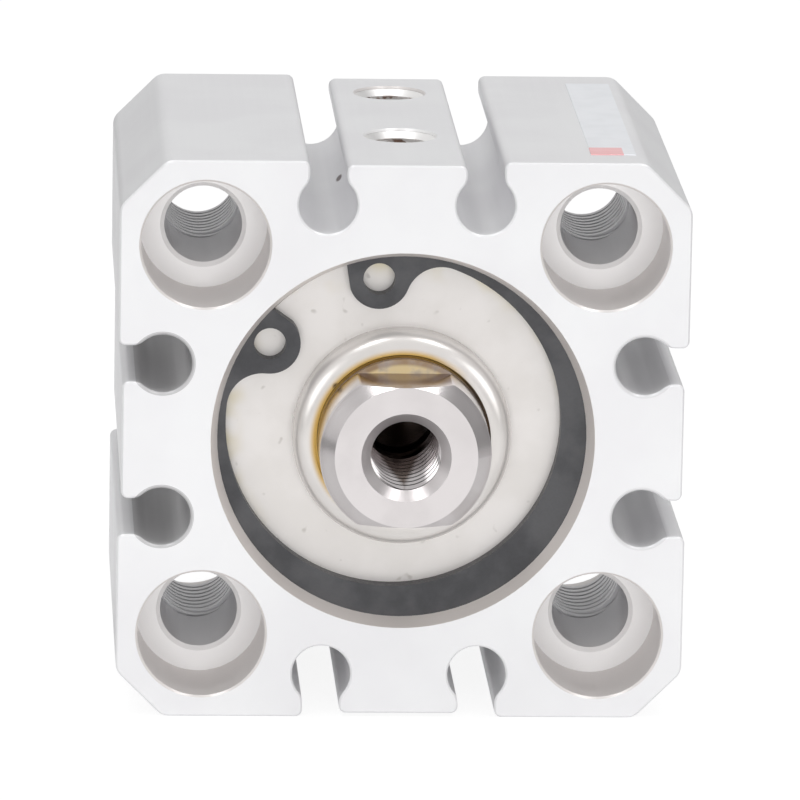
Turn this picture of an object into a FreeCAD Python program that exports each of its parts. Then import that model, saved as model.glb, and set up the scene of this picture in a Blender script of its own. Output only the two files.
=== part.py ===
import FreeCAD, Part
import math
import os
import re
import Sketcher

# Compact double-acting pneumatic cylinder, 25 mm bore, 10 mm stroke, without magnet.
# Frame: the bore axis is Y, the rod leaves towards -Y, the ports face +Z.
# The origin is on the bore axis in the plane of the rod-side mounting face.

# Driving dimensions, millimetres (angles in degrees).
DIMENSIONS = {
    # Body block: a square extrusion whose length is a fixed part plus the stroke.
    "body_width": 40.0,
    "fixed_length": 22.5,
    "stroke": 10.0,
    "corner_chamfer": 3.3,
    "corner_round": 1.2,
    "end_break": 0.12,
    "cut_margin": 1.0,
    # Keyhole grooves for switches, two on each side, and the sunk land between them.
    "groove_offset": 5.5,
    "groove_dia": 4.15,
    "groove_depth": 3.1,
    "neck_width": 2.6,
    "neck_round": 1.2,
    "mouth_round": 0.5,
    "land_recess": 0.27,
    # Corner holes: counterbored at both ends, plain in front, tapped M6 behind.
    "hole_pitch": 28.0,
    "hole_dia": 5.5,
    "counterbore_dia": 9.0,
    "counterbore_depth": 7.0,
    "corner_thread_dia": 6.0,
    "corner_thread_length": 10.0,
    "hole_break": 0.15,
    "hole_lead": 0.3,
    # Bore: a cover recess, a lead-in mouth and a ring groove at each end.
    "bore_dia": 25.0,
    "recess_dia": 26.0,
    "mouth_dia": 27.0,
    "front_recess": 9.0,
    "rear_recess": 6.1,
    # Air ports, tapped M5, and the small passages from their floors into the bore.
    "port_dia": 5.0,
    "port_lead": 0.15,
    "port_depth": 4.6,
    "front_port": 11.0,
    "rear_port": 5.5,
    "passage_dia": 1.8,
    "passage_shift": 1.05,
    "passage_shift_rear": 1.55,
    # Retaining rings: an eccentric ring with two pierced lugs, set in its groove.
    "ring_groove_dia": 27.4,
    "ring_depth": 1.4,
    "ring_thickness": 1.2,
    "ring_play": 0.1,
    "ring_side_play": 0.05,
    "ring_inner_radius": 11.8,
    "ring_offset": 1.18,
    "lug_pitch": 11.5,
    "lug_angle": 22.85,
    "lug_radius": 2.15,
    "lug_hole_dia": 2.25,
    "lug_shoulder": 1.9,
    "lug_trim": 0.05,
    "lug_fillet": 2.5,
    "ring_turn": 31.75,
    # Covers: discs in the recesses, with an O-ring groove in the rim.
    "cover_play": 0.03,
    "cover_lead": 0.25,
    "boss_dia": 15.4,
    "boss_height": 2.4,
    "boss_round": 1.4,
    "boss_hole_dia": 12.4,
    "boss_lip": 0.8,
    "o_ring_floor_dia": 23.0,
    "o_ring_groove": 1.9,
    "o_ring_wire": 1.44,
    "front_o_ring": 6.8,
    "rear_o_ring": 4.4,
    # Bush and lip seal in the rod cover.
    "bush_wall": 0.58,
    "bush_length": 4.6,
    "bush_seat_play": 0.01,
    "rod_play": 0.02,
    "seal_play": 0.04,
    "seal_groove_dia": 16.0,
    "seal_groove_length": 2.5,
    "seal_side_play": 0.1,
    "seal_heel_lead": 0.25,
    "seal_cup_floor": 1.1,
    "seal_lip_spread": 0.5,
    "seal_lip_edge": 0.2,
    "seal_lip_contact": 0.4,
    "lip_land": 0.8,
    "lip_hole_dia": 12.6,
    # Rod.
    "rod_dia": 12.0,
    "rod_reach": 5.0,
    "rod_chamfer": 1.0,
    "rod_heel_chamfer": 0.3,
    "flat_width": 10.0,
    "flat_length": 4.6,
    "rod_thread_dia": 6.0,
    "rod_thread_length": 12.0,
    "rod_thread_lead": 0.15,
    "rod_drill_dia": 5.0,
    "rod_drill_depth": 14.0,
    "drill_point": 1.4,
    # Piston, its seal, bumpers, screw and the O-ring under the rod's heel.
    "end_play": 0.05,
    "bumper_proud": 0.5,
    "bumper_sink": 0.8,
    "bumper_inner_dia": 15.0,
    "bumper_outer_dia": 19.0,
    "bumper_play": 0.02,
    "piston_play": 0.1,
    "piston_taper": 0.8,
    "piston_land": 0.9,
    "piston_groove_dia": 20.0,
    "piston_groove_width": 2.4,
    "piston_seal_play": 0.03,
    "piston_seal_floor_play": 0.05,
    "piston_seal_notch": 0.55,
    "piston_seal_lip": 0.6,
    "piston_seal_slope": 0.5,
    "socket_depth": 1.5,
    "heel_groove_inner": 7.2,
    "heel_groove_outer": 9.8,
    "heel_groove_depth": 0.9,
    "heel_ring_wire": 0.88,
    "screw_dia": 5.0,
    "screw_hole_dia": 5.2,
    "screw_depth": 8.0,
    "screw_length": 9.5,
    "screw_play": 0.05,
    "screw_point": 0.4,
    "screw_head_sink": 0.1,
    "screw_head_dia": 9.2,
    "screw_sink_dia": 9.4,
    "screw_socket": 3.0,
    "screw_socket_depth": 1.6,
    # Blank sticker on the right outer land of the top.
    "label_left": 13.0,
    "label_width": 3.15,
    "label_start": 3.0,
    "label_length": 26.4,
    "label_thickness": 0.06,
}

# Stations along Y that several pieces share, as formulas of the driving dimensions.
BODY_LENGTH = "(fixed_length + stroke)"
COVER_FACE = "(ring_depth + ring_thickness)"
BOSS_FACE = f"({COVER_FACE} - boss_height)"
BUSH_FACE = f"({BOSS_FACE} + boss_lip)"
SEAL_END = "(front_recess - lip_land)"
SEAL_START = f"({SEAL_END} - seal_groove_length)"
BORE_END = f"({BODY_LENGTH} - rear_recess)"
REAR_COVER_FACE = f"({BODY_LENGTH} - {COVER_FACE})"
PISTON_FRONT = "(front_recess + end_play + stroke + bumper_proud)"
PISTON_REAR = f"({BORE_END} - end_play - bumper_proud)"
PISTON_MIDDLE = f"(({PISTON_FRONT} + {PISTON_REAR}) / 2)"
ROD_HEEL = f"({PISTON_FRONT} + socket_depth)"
RECESS_RIM = "(recess_dia / 2 - cover_play)"
BUSH_OUTER = "(rod_dia / 2 + rod_play + bush_wall)"

# How near an edge has to be to its expected place to be picked for rounding.
MATCH = 0.02

document = FreeCAD.newDocument("compact_cylinder")
sheet = document.addObject("Spreadsheet::Sheet", "Sheet")
for row, (alias, value) in enumerate(DIMENSIONS.items(), 1):
    sheet.set(f"A{row}", alias)
    sheet.set(f"B{row}", str(value))
    sheet.setAlias(f"B{row}", alias)
document.recompute()


def bind(item, path, formula):
    """Bind a property to a formula in which bare words are cells of the sheet."""
    def cell(word):
        return f"Sheet.{word[0]}" if word[0] in DIMENSIONS else word[0]
    item.setExpression(path, re.sub(r"[a-z][a-z_]+", cell, formula))


def new_body(label):
    body = document.addObject("PartDesign::Body", label)
    body.Label = label
    return body


def origin_feature(body, role):
    return next(item for item in body.Origin.OriginFeatures if item.Role == role)


def new_sketch(body, name, plane, shift=None):
    """A sketch on an origin plane, shifted along the plane's own axes by formulas."""
    sketch = body.newObject("Sketcher::SketchObject", name)
    sketch.AttachmentSupport = [(origin_feature(body, plane), "")]
    sketch.MapMode = "FlatFace"
    for axis, formula in (shift or {}).items():
        bind(sketch, f"AttachmentOffset.Base.{axis}", formula)
    return sketch


def pin_point(sketch, geometry, end, place):
    for kind, formula in zip(("DistanceX", "DistanceY"), place):
        index = sketch.addConstraint(Sketcher.Constraint(kind, -1, 1, geometry, end, 1.0))
        bind(sketch, f"Constraints[{index}]", formula)


def draw_outline(sketch, places):
    """A closed outline of straight lines, every corner held by two formulas."""
    count = len(places)
    first = sketch.GeometryCount
    turn = 2 * math.pi / count
    corners = [FreeCAD.Vector(math.cos(turn * i), math.sin(turn * i), 0) for i in range(count)]
    for i in range(count):
        sketch.addGeometry(Part.LineSegment(corners[i], corners[(i + 1) % count]))
    for i in range(count):
        sketch.addConstraint(Sketcher.Constraint("Coincident", first + i, 2, first + (i + 1) % count, 1))
    for i, place in enumerate(places):
        pin_point(sketch, first + i, 1, place)


def draw_circle(sketch, centre, radius):
    geometry = sketch.addGeometry(Part.Circle(FreeCAD.Vector(), FreeCAD.Vector(0, 0, 1), 1.0))
    pin_point(sketch, geometry, 3, centre)
    index = sketch.addConstraint(Sketcher.Constraint("Radius", geometry, 1.0))
    bind(sketch, f"Constraints[{index}]", radius)


def rectangle(left, right, low, high):
    return [(left, low), (right, low), (right, high), (left, high)]


def add_feature(body, kind, name, sketch, **settings):
    feature = body.newObject(f"PartDesign::{kind}", name)
    feature.Profile = sketch
    for key, value in settings.items():
        if isinstance(value, str) and key == "Length":
            bind(feature, key, value)
        else:
            setattr(feature, key, value)
    document.recompute()
    return feature


def turn_about_sketch(body, kind, name, sketch):
    """Revolve a half section about its sketch's vertical axis: Revolution adds, Groove cuts."""
    return add_feature(body, kind, name, sketch, ReferenceAxis=(sketch, ["V_Axis"]), Angle=360.0)


def pattern_four(body, name, originals):
    """Repeat features at the four sides or corners of the body."""
    pattern = body.newObject("PartDesign::PolarPattern", name)
    pattern.Originals = originals
    pattern.Axis = (origin_feature(body, "Y_Axis"), [""])
    pattern.Angle = 360.0
    pattern.Occurrences = 4
    body.Tip = pattern
    document.recompute()


def dress_edges(body, kind, name, keep, size):
    """Fillet or chamfer the edges of the body so far that a test picks."""
    base = body.Tip
    picked = [f"Edge{i}" for i, edge in enumerate(base.Shape.Edges, 1) if keep(edge)]
    feature = body.newObject(f"PartDesign::{kind}", name)
    feature.Base = (base, picked)
    bind(feature, "Radius" if kind == "Fillet" else "Size", size)
    document.recompute()


def runs_along_bore(edge, spots):
    """Whether an edge lies along Y at one of some spots, each as (near, far) from the mid planes."""
    start = edge.Vertexes[0].Point
    stop = edge.Vertexes[-1].Point
    if math.hypot(start.x - stop.x, start.z - stop.z) > MATCH:
        return False
    near, far = sorted((abs(start.x), abs(start.z)))
    return any(math.hypot(near - spot[0], far - spot[1]) < MATCH for spot in spots)


def lies_at_station(edge, station):
    """Whether an edge lies in the plane across the bore at a station along Y."""
    box = edge.BoundBox
    return max(abs(box.YMin - station), abs(box.YMax - station)) < MATCH


def revolved_body(label, half_section):
    """A piece turned about the bore axis from its half section of (radius, station) formulas."""
    body = new_body(label)
    sketch = new_sketch(body, f"{label}_section", "XY_Plane")
    draw_outline(sketch, half_section)
    turn_about_sketch(body, "Revolution", f"{label}_turned", sketch)
    return body


def o_ring_body(label, ring_radius, station, wire):
    """A rubber ring pressed flat against its groove's floor and wall, so its section is an octagon."""
    half = f"{wire} / 2"
    flat = f"{half} * tan(22.5)"
    return revolved_body(label, [
        (f"({ring_radius} {across} {reach})", f"({station} {along} {rise})")
        for across, along, reach, rise in (
            ("+", "-", half, flat), ("+", "+", half, flat), ("+", "+", flat, half), ("-", "+", flat, half),
            ("-", "+", half, flat), ("-", "-", half, flat), ("-", "-", flat, half), ("+", "-", flat, half),
        )
    ])


def cylinder_body():
    size = DIMENSIONS
    half = size["body_width"] / 2
    body = new_body("cylinder_body")

    outline = new_sketch(body, "body_outline", "XZ_Plane")
    side = "body_width / 2"
    draw_outline(outline, rectangle(f"-{side}", side, f"-{side}", side))
    add_feature(body, "Pad", "body_block", outline, Length=BODY_LENGTH, Reversed=True)
    corners = [(half, half)]
    dress_edges(
        body, "Chamfer", "body_corners", lambda edge: runs_along_bore(edge, corners), "corner_chamfer")

    # The grooves of the top side, as a round channel and a neck, then the sunk land between them.
    middle = "(body_width / 2 - groove_depth)"
    above = "(body_width / 2 + cut_margin)"
    channel = new_sketch(body, "groove_channel", "XZ_Plane")
    neck = new_sketch(body, "groove_neck", "XZ_Plane")
    for sign in ("", "-"):
        draw_circle(channel, (f"{sign}groove_offset", middle), "groove_dia / 2")
        inner = f"{sign}(groove_offset - neck_width / 2)"
        outer = f"{sign}(groove_offset + neck_width / 2)"
        draw_outline(neck, rectangle(inner, outer, middle, above))
    surface = f"({side} - land_recess)"
    land = new_sketch(body, "sunk_land", "XZ_Plane")
    draw_outline(land, rectangle("-groove_offset", "groove_offset", surface, above))
    cuts = [
        add_feature(body, "Pocket", f"{sketch.Name}_cut", sketch, Type="ThroughAll", Midplane=True)
        for sketch in (channel, neck, land)
    ]
    pattern_four(body, "grooves_all_round", cuts)

    # Rounding of the extrusion: groove shoulders, groove mouths and the corner chamfers.
    neck_half = size["neck_width"] / 2
    shoulder_rise = math.sqrt((size["groove_dia"] / 2) ** 2 - neck_half ** 2)
    shoulder = half - size["groove_depth"] + shoulder_rise
    inner_wall = size["groove_offset"] - neck_half
    outer_wall = size["groove_offset"] + neck_half
    roundings = {
        "neck_round": [(inner_wall, shoulder), (outer_wall, shoulder)],
        "mouth_round": [(inner_wall, half - size["land_recess"]), (outer_wall, half)],
        "corner_round": [(half - size["corner_chamfer"], half)],
    }
    for name, spots in roundings.items():
        dress_edges(body, "Fillet", f"{name}_edges", lambda edge: runs_along_bore(edge, spots), name)

    # Broken edges round both end faces, before anything is bored through them.
    length = size["fixed_length"] + size["stroke"]
    ends = (0.0, length)
    dress_edges(
        body, "Chamfer", "end_faces_broken",
        lambda edge: any(lies_at_station(edge, station) for station in ends), "end_break")

    bore = new_sketch(body, "bore_section", "XY_Plane")
    recess = "recess_dia / 2"
    ring_groove = "ring_groove_dia / 2"
    ring_end = f"({COVER_FACE} + ring_play)"
    front_half = [
        ("mouth_dia / 2", "0"), (recess, "ring_depth"), (ring_groove, "ring_depth"), (ring_groove, ring_end),
        (recess, ring_end), (recess, "front_recess"), ("bore_dia / 2", "front_recess"),
    ]
    rear_half = [(radius, f"({BODY_LENGTH} - {station})") for radius, station in front_half]
    rear_half[-2:] = [(recess, BORE_END), ("bore_dia / 2", BORE_END)]
    draw_outline(bore, [("0", "0"), *front_half, *reversed(rear_half), ("0", BODY_LENGTH)])
    turn_about_sketch(body, "Groove", "bore_cut", bore)

    corner = {"x": "hole_pitch / 2", "z": "hole_pitch / 2"}
    hole = new_sketch(body, "corner_hole_section", "XY_Plane", corner)
    sink = "counterbore_dia / 2"
    plain = "hole_dia / 2"
    thread = "corner_thread_dia / 2"
    floor = "counterbore_depth"
    rear_floor = f"({BODY_LENGTH} - {floor})"
    thread_start = f"({rear_floor} - corner_thread_length)"
    draw_outline(hole, [
        ("0", "0"), (f"{sink} + hole_break", "0"), (sink, "hole_break"), (sink, floor),
        (f"{plain} + hole_lead", floor), (plain, f"({floor} + hole_lead)"),
        (plain, thread_start), (thread, thread_start), (thread, rear_floor), (sink, rear_floor),
        (sink, f"({BODY_LENGTH} - hole_break)"), (f"{sink} + hole_break", BODY_LENGTH), ("0", BODY_LENGTH),
    ])
    corner_hole = turn_about_sketch(body, "Groove", "corner_hole", hole)
    pattern_four(body, "corner_holes", [corner_hole])

    # Ports sink into the top's middle land. Each passage leaves its floor off centre, clear of the covers.
    port_floor = f"({surface} - port_depth)"
    rear_port_station = f"({BODY_LENGTH} - rear_port)"
    ports = {
        "front_port": ("front_port", "(front_port - passage_shift)"),
        "rear_port": (rear_port_station, f"({rear_port_station} - passage_shift_rear)"),
    }
    for name, (station, passage_station) in ports.items():
        port = new_sketch(body, f"{name}_section", "YZ_Plane", {"x": station})
        wall = "port_dia / 2"
        draw_outline(port, [
            ("0", port_floor), (wall, port_floor), (wall, f"({surface} - port_lead)"),
            (f"{wall} + port_lead", surface), (f"{wall} + port_lead", above), ("0", above),
        ])
        turn_about_sketch(body, "Groove", f"{name}_hole", port)
        passage = new_sketch(body, f"{name}_passage_section", "YZ_Plane", {"x": passage_station})
        passage_top = f"({port_floor} + port_lead)"
        draw_outline(passage, rectangle("0", "passage_dia / 2", "bore_dia / 4", passage_top))
        turn_about_sketch(body, "Groove", f"{name}_passage", passage)
    return body


def rod_cover():
    rim = RECESS_RIM
    groove_floor = "o_ring_floor_dia / 2"
    groove_start = "(front_o_ring - o_ring_groove / 2)"
    groove_end = "(front_o_ring + o_ring_groove / 2)"
    seat = f"({BUSH_OUTER} + bush_seat_play)"
    seal_wall = "seal_groove_dia / 2"
    lip = "lip_hole_dia / 2"
    nose = "boss_hole_dia / 2"
    body = revolved_body("rod_cover", [
        (seat, BUSH_FACE), (nose, BUSH_FACE), (nose, BOSS_FACE), ("boss_dia / 2", BOSS_FACE),
        ("boss_dia / 2", COVER_FACE), (f"{rim} - cover_lead", COVER_FACE),
        (rim, f"({COVER_FACE} + cover_lead)"), (rim, groove_start), (groove_floor, groove_start),
        (groove_floor, groove_end), (rim, groove_end), (rim, "front_recess"), (lip, "front_recess"),
        (lip, SEAL_END), (seal_wall, SEAL_END), (seal_wall, SEAL_START), (seat, SEAL_START),
    ])
    size = DIMENSIONS
    boss_radius = size["boss_dia"] / 2
    boss_face = size["ring_depth"] + size["ring_thickness"] - size["boss_height"]

    def is_boss_rim(edge):
        return lies_at_station(edge, boss_face) and abs(edge.BoundBox.XMax - boss_radius) < MATCH
    dress_edges(body, "Fillet", "boss_rim_round", is_boss_rim, "boss_round")
    return body


def rod_bush():
    inner = "(rod_dia / 2 + rod_play)"
    return revolved_body("rod_bush", rectangle(inner, BUSH_OUTER, BUSH_FACE, f"({BUSH_FACE} + bush_length)"))


def rod_seal():
    start = f"({SEAL_START} + seal_side_play)"
    stop = f"({SEAL_END} - seal_side_play)"
    lip = "(rod_dia / 2 + seal_play)"
    wall = "(seal_groove_dia / 2 - seal_play)"
    middle = f"(({lip} + {wall}) / 2)"
    edge = f"({stop} - seal_lip_edge)"
    return revolved_body("rod_seal", [
        (f"{lip} + seal_heel_lead", start), (wall, start), (wall, stop),
        (f"{middle} + seal_lip_spread", stop), (middle, f"({start} + seal_cup_floor)"),
        (f"{middle} - seal_lip_spread", stop), (lip, edge), (lip, f"({edge} - seal_lip_contact)"),
    ])


def cover_o_ring(label, station):
    ring_radius = "((recess_dia + o_ring_floor_dia) / 4)"
    return o_ring_body(label, ring_radius, station, "o_ring_wire")


def retaining_ring(label, station):
    """Eccentric spring ring, drawn with its gap up and turned into place."""
    body = new_body(label)
    bind(body, "Placement.Base.y", station)
    body.Placement.Rotation = FreeCAD.Rotation(FreeCAD.Vector(0, -1, 0), 1.0)
    bind(body, "Placement.Rotation.Angle", "ring_turn")

    band = new_sketch(body, f"{label}_band", "XZ_Plane")
    draw_circle(band, ("0", "0"), "(ring_groove_dia / 2 - ring_side_play)")
    draw_circle(band, ("0", "ring_offset"), "ring_inner_radius")
    add_feature(body, "Pad", f"{label}_blank", band, Length="ring_thickness", Reversed=True)

    # Each lug is a round eye, squared up to the rim on the side of the gap.
    lugs = new_sketch(body, f"{label}_lugs", "XZ_Plane")
    shoulders = new_sketch(body, f"{label}_shoulders", "XZ_Plane")
    holes = new_sketch(body, f"{label}_holes", "XZ_Plane")
    for sign in ("", "-"):
        def beside_gap(out, across):
            x = f"{sign}({out} * sin(lug_angle) - {across} * cos(lug_angle))"
            return (x, f"({out} * cos(lug_angle) + {across} * sin(lug_angle))")
        draw_circle(lugs, beside_gap("lug_pitch", "0"), "lug_radius")
        draw_circle(holes, beside_gap("lug_pitch", "0"), "lug_hole_dia / 2")
        rim = "(lug_pitch + lug_shoulder)"
        draw_outline(shoulders, [
            beside_gap("lug_pitch", "0"), beside_gap("lug_pitch", "lug_radius"),
            beside_gap(rim, "lug_radius"), beside_gap(rim, "0"),
        ])
    for sketch in (lugs, shoulders):
        add_feature(body, "Pad", f"{sketch.Name}_pad", sketch, Length="ring_thickness", Reversed=True)

    # The end faces run along the lugs' own radii, so the gap is a wedge.
    gap = new_sketch(body, f"{label}_gap", "XZ_Plane")
    apex = "((lug_radius - lug_trim) / sin(lug_angle))"
    top = "(ring_groove_dia / 2 + cut_margin)"
    spread = f"({top} - {apex}) * tan(lug_angle)"
    draw_outline(gap, [("0", apex), (spread, top), (f"-{spread}", top)])
    add_feature(body, "Pocket", f"{label}_gap_cut", gap, Type="ThroughAll", Midplane=True)
    add_feature(body, "Pocket", f"{label}_hole_cut", holes, Type="ThroughAll", Midplane=True)

    # A wide fillet leads each lug into the band on the side away from the gap.
    size = DIMENSIONS
    angle = math.radians(size["lug_angle"])
    lug_centre = (size["lug_pitch"] * math.sin(angle), size["lug_pitch"] * math.cos(angle))

    def joins_lug_to_band(edge):
        point = edge.Vertexes[0].Point
        along = abs(edge.BoundBox.YLength - size["ring_thickness"]) < MATCH
        to_lug = math.hypot(abs(point.x) - lug_centre[0], point.z - lug_centre[1])
        to_band = math.hypot(point.x, point.z - size["ring_offset"])
        on_lug = abs(to_lug - size["lug_radius"]) < MATCH
        on_band = abs(to_band - size["ring_inner_radius"]) < MATCH
        return along and on_lug and on_band
    dress_edges(body, "Fillet", f"{label}_lug_fillets", joins_lug_to_band, "lug_fillet")
    return body


def rear_cover():
    rim = RECESS_RIM
    groove_floor = "o_ring_floor_dia / 2"
    groove_start = f"({BODY_LENGTH} - rear_o_ring - o_ring_groove / 2)"
    groove_end = f"({BODY_LENGTH} - rear_o_ring + o_ring_groove / 2)"
    return revolved_body("rear_cover", [
        ("0", BORE_END), (rim, BORE_END), (rim, groove_start), (groove_floor, groove_start),
        (groove_floor, groove_end), (rim, groove_end), (rim, f"({REAR_COVER_FACE} - cover_lead)"),
        (f"{rim} - cover_lead", REAR_COVER_FACE), ("0", REAR_COVER_FACE),
    ])


def piston_rod():
    radius = "rod_dia / 2"
    tip = "-rod_reach"
    bore = "rod_thread_dia / 2"
    drill = "rod_drill_dia / 2"
    thread_end = "(rod_thread_length - rod_reach)"
    drill_end = "(rod_drill_depth - rod_reach)"
    screw_bottom = f"({ROD_HEEL} - screw_depth)"
    screw_wall = "screw_dia / 2"
    body = revolved_body("piston_rod", [
        ("0", f"({drill_end} + drill_point)"), (drill, drill_end), (drill, thread_end), (bore, thread_end),
        (bore, f"({tip} + rod_thread_lead)"), (f"{bore} + rod_thread_lead", tip),
        (f"{radius} - rod_chamfer", tip), (radius, f"({tip} + rod_chamfer)"),
        (radius, f"({ROD_HEEL} - rod_heel_chamfer)"), (f"{radius} - rod_heel_chamfer", ROD_HEEL),
        (screw_wall, ROD_HEEL), (screw_wall, screw_bottom), ("0", f"({screw_bottom} - drill_point)"),
    ])
    flats = new_sketch(body, "wrench_flats", "XZ_Plane", {"z": "rod_reach"})
    for sign in ("", "-"):
        draw_outline(flats, rectangle("-rod_dia", "rod_dia", f"{sign}flat_width / 2", f"{sign}rod_dia"))
    add_feature(body, "Pocket", "wrench_flats_cut", flats, Length="flat_length")
    return body


def piston():
    wall = "(bore_dia / 2 - piston_play)"
    floor = "piston_groove_dia / 2"
    groove_start = f"({PISTON_MIDDLE} - piston_groove_width / 2)"
    groove_end = f"({PISTON_MIDDLE} + piston_groove_width / 2)"
    inner = "bumper_inner_dia / 2"
    outer = "bumper_outer_dia / 2"
    front_sink = f"({PISTON_FRONT} + bumper_sink)"
    rear_sink = f"({PISTON_REAR} - bumper_sink)"
    socket = "(rod_dia / 2 + rod_play)"
    heel_in = "heel_groove_inner / 2"
    heel_out = "heel_groove_outer / 2"
    heel_floor = f"({ROD_HEEL} + heel_groove_depth)"
    hole = "screw_hole_dia / 2"
    sink = "screw_sink_dia / 2"
    return revolved_body("piston", [
        (hole, ROD_HEEL), (heel_in, ROD_HEEL), (heel_in, heel_floor), (heel_out, heel_floor),
        (heel_out, ROD_HEEL), (socket, ROD_HEEL), (socket, PISTON_FRONT),
        (inner, PISTON_FRONT), (inner, front_sink), (outer, front_sink), (outer, PISTON_FRONT),
        (f"{wall} - piston_taper", PISTON_FRONT), (wall, f"({groove_start} - piston_land)"),
        (wall, groove_start), (floor, groove_start), (floor, groove_end), (wall, groove_end),
        (wall, f"({groove_end} + piston_land)"), (f"{wall} - piston_taper", PISTON_REAR),
        (outer, PISTON_REAR), (outer, rear_sink), (inner, rear_sink), (inner, PISTON_REAR),
        (sink, PISTON_REAR), (hole, f"({PISTON_REAR} - {sink} + {hole})"),
    ])


def piston_seal():
    lip = "(bore_dia / 2 - piston_seal_play)"
    inner = "(piston_groove_dia / 2 + piston_seal_floor_play)"
    half = "(piston_groove_width / 2 - piston_seal_floor_play)"
    shoulder = f"({lip} - piston_seal_slope)"
    front = f"({PISTON_MIDDLE} - {half})"
    rear = f"({PISTON_MIDDLE} + {half})"
    return revolved_body("piston_seal", [
        (inner, front), (shoulder, front), (lip, f"({PISTON_MIDDLE} - piston_seal_lip)"),
        (f"{lip} - piston_seal_notch", PISTON_MIDDLE), (lip, f"({PISTON_MIDDLE} + piston_seal_lip)"),
        (shoulder, rear), (inner, rear),
    ])


def bumper(label, floor, nose):
    """Cushion ring in a groove of a piston face, from the groove's floor to its own proud nose."""
    inner = "(bumper_inner_dia / 2 + bumper_play)"
    outer = "(bumper_outer_dia / 2 - bumper_play)"
    return revolved_body(label, rectangle(inner, outer, floor, nose))


def piston_screw():
    shank = "(screw_dia / 2 - screw_play)"
    head = "screw_head_dia / 2"
    top = f"({PISTON_REAR} - screw_head_sink)"
    neck = f"({top} - {head} + {shank})"
    end = f"({neck} - screw_length)"
    body = revolved_body("piston_screw", [
        ("0", end), (f"{shank} - screw_point", end), (shank, f"({end} + screw_point)"), (shank, neck),
        (head, top), ("0", top),
    ])
    socket = new_sketch(body, "screw_socket_outline", "XZ_Plane", {"z": f"-{top}"})
    corner = "(screw_socket / 2 / cos(30))"
    hexagon = range(0, 360, 60)
    draw_outline(socket, [(f"{corner} * cos({angle})", f"{corner} * sin({angle})") for angle in hexagon])
    add_feature(body, "Pocket", "screw_socket_cut", socket, Length="screw_socket_depth", Reversed=True)
    return body


def blank_label():
    label = document.addObject("Part::Box", "blank_label")
    label.Label = "blank_label"
    sizes = {"Length": "label_width", "Width": "label_length", "Height": "label_thickness"}
    corner = {"x": "label_left", "y": "label_start", "z": "body_width / 2"}
    for name, formula in sizes.items():
        bind(label, name, formula)
    for axis, formula in corner.items():
        bind(label, f"Placement.Base.{axis}", formula)
    return label


heel_radius = "((heel_groove_inner + heel_groove_outer) / 4)"
heel_station = f"({ROD_HEEL} + heel_groove_depth / 2)"
pieces = [
    cylinder_body(),
    rod_cover(),
    rod_bush(),
    rod_seal(),
    cover_o_ring("rod_cover_o_ring", "front_o_ring"),
    retaining_ring("front_retaining_ring", "ring_depth"),
    piston_rod(),
    piston(),
    piston_seal(),
    o_ring_body("piston_rod_o_ring", heel_radius, heel_station, "heel_ring_wire"),
    piston_screw(),
    bumper("front_bumper", f"({PISTON_FRONT} + bumper_sink)", f"({PISTON_FRONT} - bumper_proud)"),
    bumper("rear_bumper", f"({PISTON_REAR} - bumper_sink)", f"({PISTON_REAR} + bumper_proud)"),
    rear_cover(),
    cover_o_ring("rear_cover_o_ring", f"({BODY_LENGTH} - rear_o_ring)"),
    retaining_ring("rear_retaining_ring", REAR_COVER_FACE),
    blank_label(),
]
document.recompute()

for item in document.Objects:
    if {"Invalid", "Error"} & set(item.State):
        raise RuntimeError(f"{item.Label} did not rebuild: {item.State}")
    if item.TypeId in ("PartDesign::Pocket", "PartDesign::Groove"):
        if item.Shape.Volume >= item.BaseFeature.Shape.Volume:
            raise RuntimeError(f"{item.Label} cuts nothing")
for piece in pieces:
    if piece.Shape.isNull() or not piece.Shape.isValid() or len(piece.Shape.Solids) != 1:
        raise RuntimeError(f"{piece.Label} is not one valid solid")

os.makedirs("parts", exist_ok=True)
for piece in pieces:
    piece.Shape.exportStep(f"parts/{piece.Label}.step")
    print(f"{piece.Label}: {piece.Shape.Volume:.1f} mm3")
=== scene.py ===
import math

import bmesh
import bpy
from mathutils import Matrix, Vector


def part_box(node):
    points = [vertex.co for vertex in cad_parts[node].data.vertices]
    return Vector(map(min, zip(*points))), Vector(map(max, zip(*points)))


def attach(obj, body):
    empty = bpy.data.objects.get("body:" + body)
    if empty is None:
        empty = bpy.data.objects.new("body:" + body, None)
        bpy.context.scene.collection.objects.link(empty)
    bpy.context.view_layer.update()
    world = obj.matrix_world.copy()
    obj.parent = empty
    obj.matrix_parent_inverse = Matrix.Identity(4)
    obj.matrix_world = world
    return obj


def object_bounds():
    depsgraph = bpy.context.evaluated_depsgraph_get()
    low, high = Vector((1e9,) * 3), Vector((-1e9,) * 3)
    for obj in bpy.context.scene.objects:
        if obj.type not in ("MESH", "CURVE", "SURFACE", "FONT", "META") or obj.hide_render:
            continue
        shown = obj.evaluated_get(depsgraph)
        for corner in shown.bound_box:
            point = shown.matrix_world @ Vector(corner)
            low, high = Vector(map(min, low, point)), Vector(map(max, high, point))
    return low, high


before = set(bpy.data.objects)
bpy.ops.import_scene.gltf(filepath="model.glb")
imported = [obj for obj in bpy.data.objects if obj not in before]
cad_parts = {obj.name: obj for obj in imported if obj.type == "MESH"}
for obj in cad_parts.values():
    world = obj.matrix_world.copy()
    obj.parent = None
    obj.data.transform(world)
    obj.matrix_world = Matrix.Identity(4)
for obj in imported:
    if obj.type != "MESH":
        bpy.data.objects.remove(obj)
cad_low, cad_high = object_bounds()

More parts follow.
